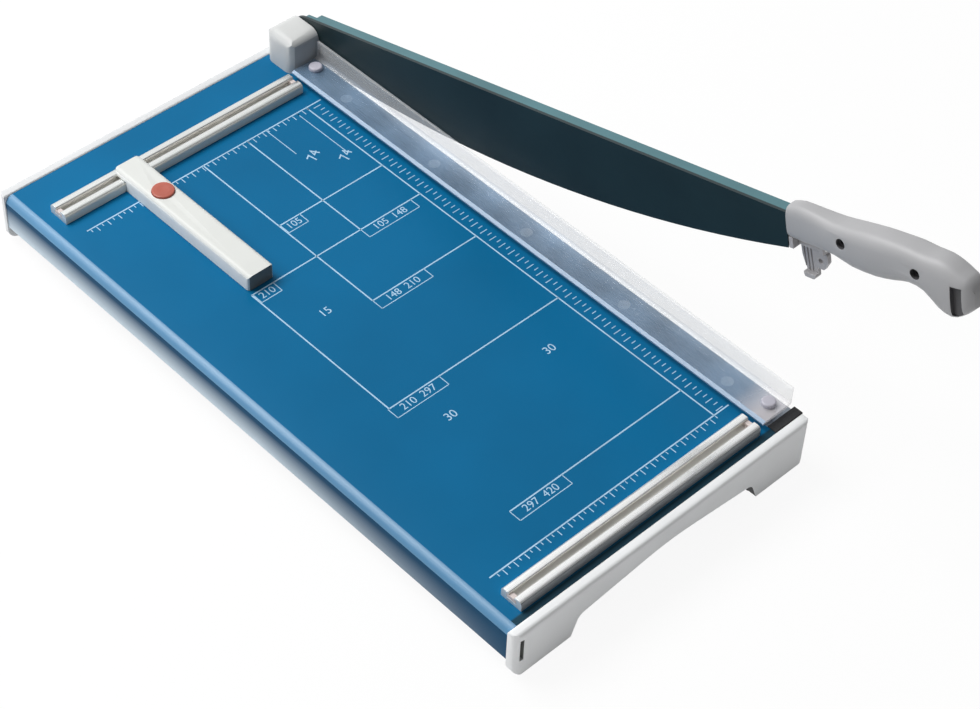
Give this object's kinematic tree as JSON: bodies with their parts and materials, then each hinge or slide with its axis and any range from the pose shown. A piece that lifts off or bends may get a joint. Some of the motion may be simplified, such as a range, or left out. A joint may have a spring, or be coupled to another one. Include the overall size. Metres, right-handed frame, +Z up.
{
  "type": "paper cutter",
  "caption": "Lever paper cutter with a blue ruled table, grey end caps, sliding backstop, clear sprung guard and a curved blade on a hinged arm with handle and latch.",
  "frame": {"origin": "middle of the underside of the whole object, on the surface it stands on, with the arm raised", "axes": "+Z up, +Y along the cut towards the pivot, +X from the table towards the blade"},
  "size_m": [0.3015, 0.6664, 0.2542],
  "materials": {
    "table_paint": "blue powder coat with fine pale printed lines",
    "cap_plastic": "light grey moulded plastic, fine texture",
    "foot_rubber": "black rubber",
    "screw_steel": "zinc-plated steel",
    "spring_steel": "drawn spring wire",
    "bed_steel": "dark coated steel",
    "knife_steel": "ground steel",
    "rail_aluminium": "drawn aluminium section",
    "plug_plastic": "pale moulded plastic",
    "bush_bronze": "sintered bronze",
    "guard_clear": "clear acrylic with a cool tint",
    "backstop_plastic": "off-white moulded plastic",
    "button_red": "orange-red moulded plastic",
    "blade_dark": "dark green-black coated steel",
    "handle_plastic": "light grey moulded plastic"
  },
  "bodies": {
    "base": {"table_plate": "table_paint", "near_end_cap": "cap_plastic", "far_end_cap": "cap_plastic", "rubber_feet": "foot_rubber", "arm_buffer": "foot_rubber", "cap_screws": "screw_steel", "knife_bed": "bed_steel", "bed_screws": "screw_steel", "lower_knife": "knife_steel", "knife_screws": "screw_steel", "far_stop_rail": "rail_aluminium", "near_stop_rail": "rail_aluminium", "rail_screws": "screw_steel", "rail_end_plugs": "plug_plastic", "pivot_bracket": "bed_steel", "bracket_screws": "screw_steel", "pivot_cover": "cap_plastic", "pivot_bolt": "screw_steel", "pivot_nut": "screw_steel", "thrust_washer": "bush_bronze", "disc_springs": "spring_steel", "guard_posts": "screw_steel", "guard_springs": "spring_steel"},
    "guard": {"clear_guard": "guard_clear"},
    "backstop": {"backstop_body": "backstop_plastic", "backstop_base": "backstop_plastic", "guide_shoes": "backstop_plastic", "lever_pin": "screw_steel", "button_spring": "spring_steel"},
    "button": {"release_button": "button_red"},
    "lever": {"brake_lever": "backstop_plastic", "brake_pad": "foot_rubber"},
    "arm": {"upper_knife": "blade_dark", "arm_bar": "blade_dark", "blade_screws": "screw_steel", "pivot_bush": "bush_bronze", "handle_inner_shell": "handle_plastic", "handle_outer_shell": "handle_plastic", "handle_screws": "screw_steel", "handle_nuts": "screw_steel", "latch_bracket": "handle_plastic", "latch_pin": "screw_steel"},
    "latch": {"latch_hook": "handle_plastic"}
  },
  "joints": [
    {"name": "arm_pivot", "type": "hinge", "parent": "base", "child": "arm", "pos_m": [0.13225, 0.30474, 0.06], "axis": [-1, 0, 0], "range_deg": [-16, 45]},
    {"name": "guard_press", "type": "slide", "parent": "base", "child": "guard", "axis": [0, 0, -1], "range_m": [0, 0.0045], "stiffness_N_per_m": 400, "springref_m": -0.004, "deforming": ["guard_springs"]},
    {"name": "backstop_slide", "type": "slide", "parent": "base", "child": "backstop", "axis": [1, 0, 0], "range_m": [-0.0523, 0.1469]},
    {"name": "button_press", "type": "slide", "parent": "backstop", "child": "button", "axis": [0, 0, -1], "range_m": [0, 0.0012], "stiffness_N_per_m": 800, "springref_m": -0.002, "deforming": ["button_spring"]},
    {"name": "lever_rock", "type": "hinge", "parent": "backstop", "child": "lever", "pos_m": [-0.06505, 0.26124, 0.0545], "axis": [1, 0, 0], "range_deg": [0, 3.32]},
    {"name": "latch_swing", "type": "hinge", "parent": "arm", "child": "latch", "pos_m": [0.14075, -0.19996, 0.19058], "axis": [0, 0.9659, -0.2588], "range_deg": [0, 14]}
  ],
  "couplings": [
    {"joint": "lever_rock", "follows": "button_press", "rad_per_m": 47.619}
  ]
}
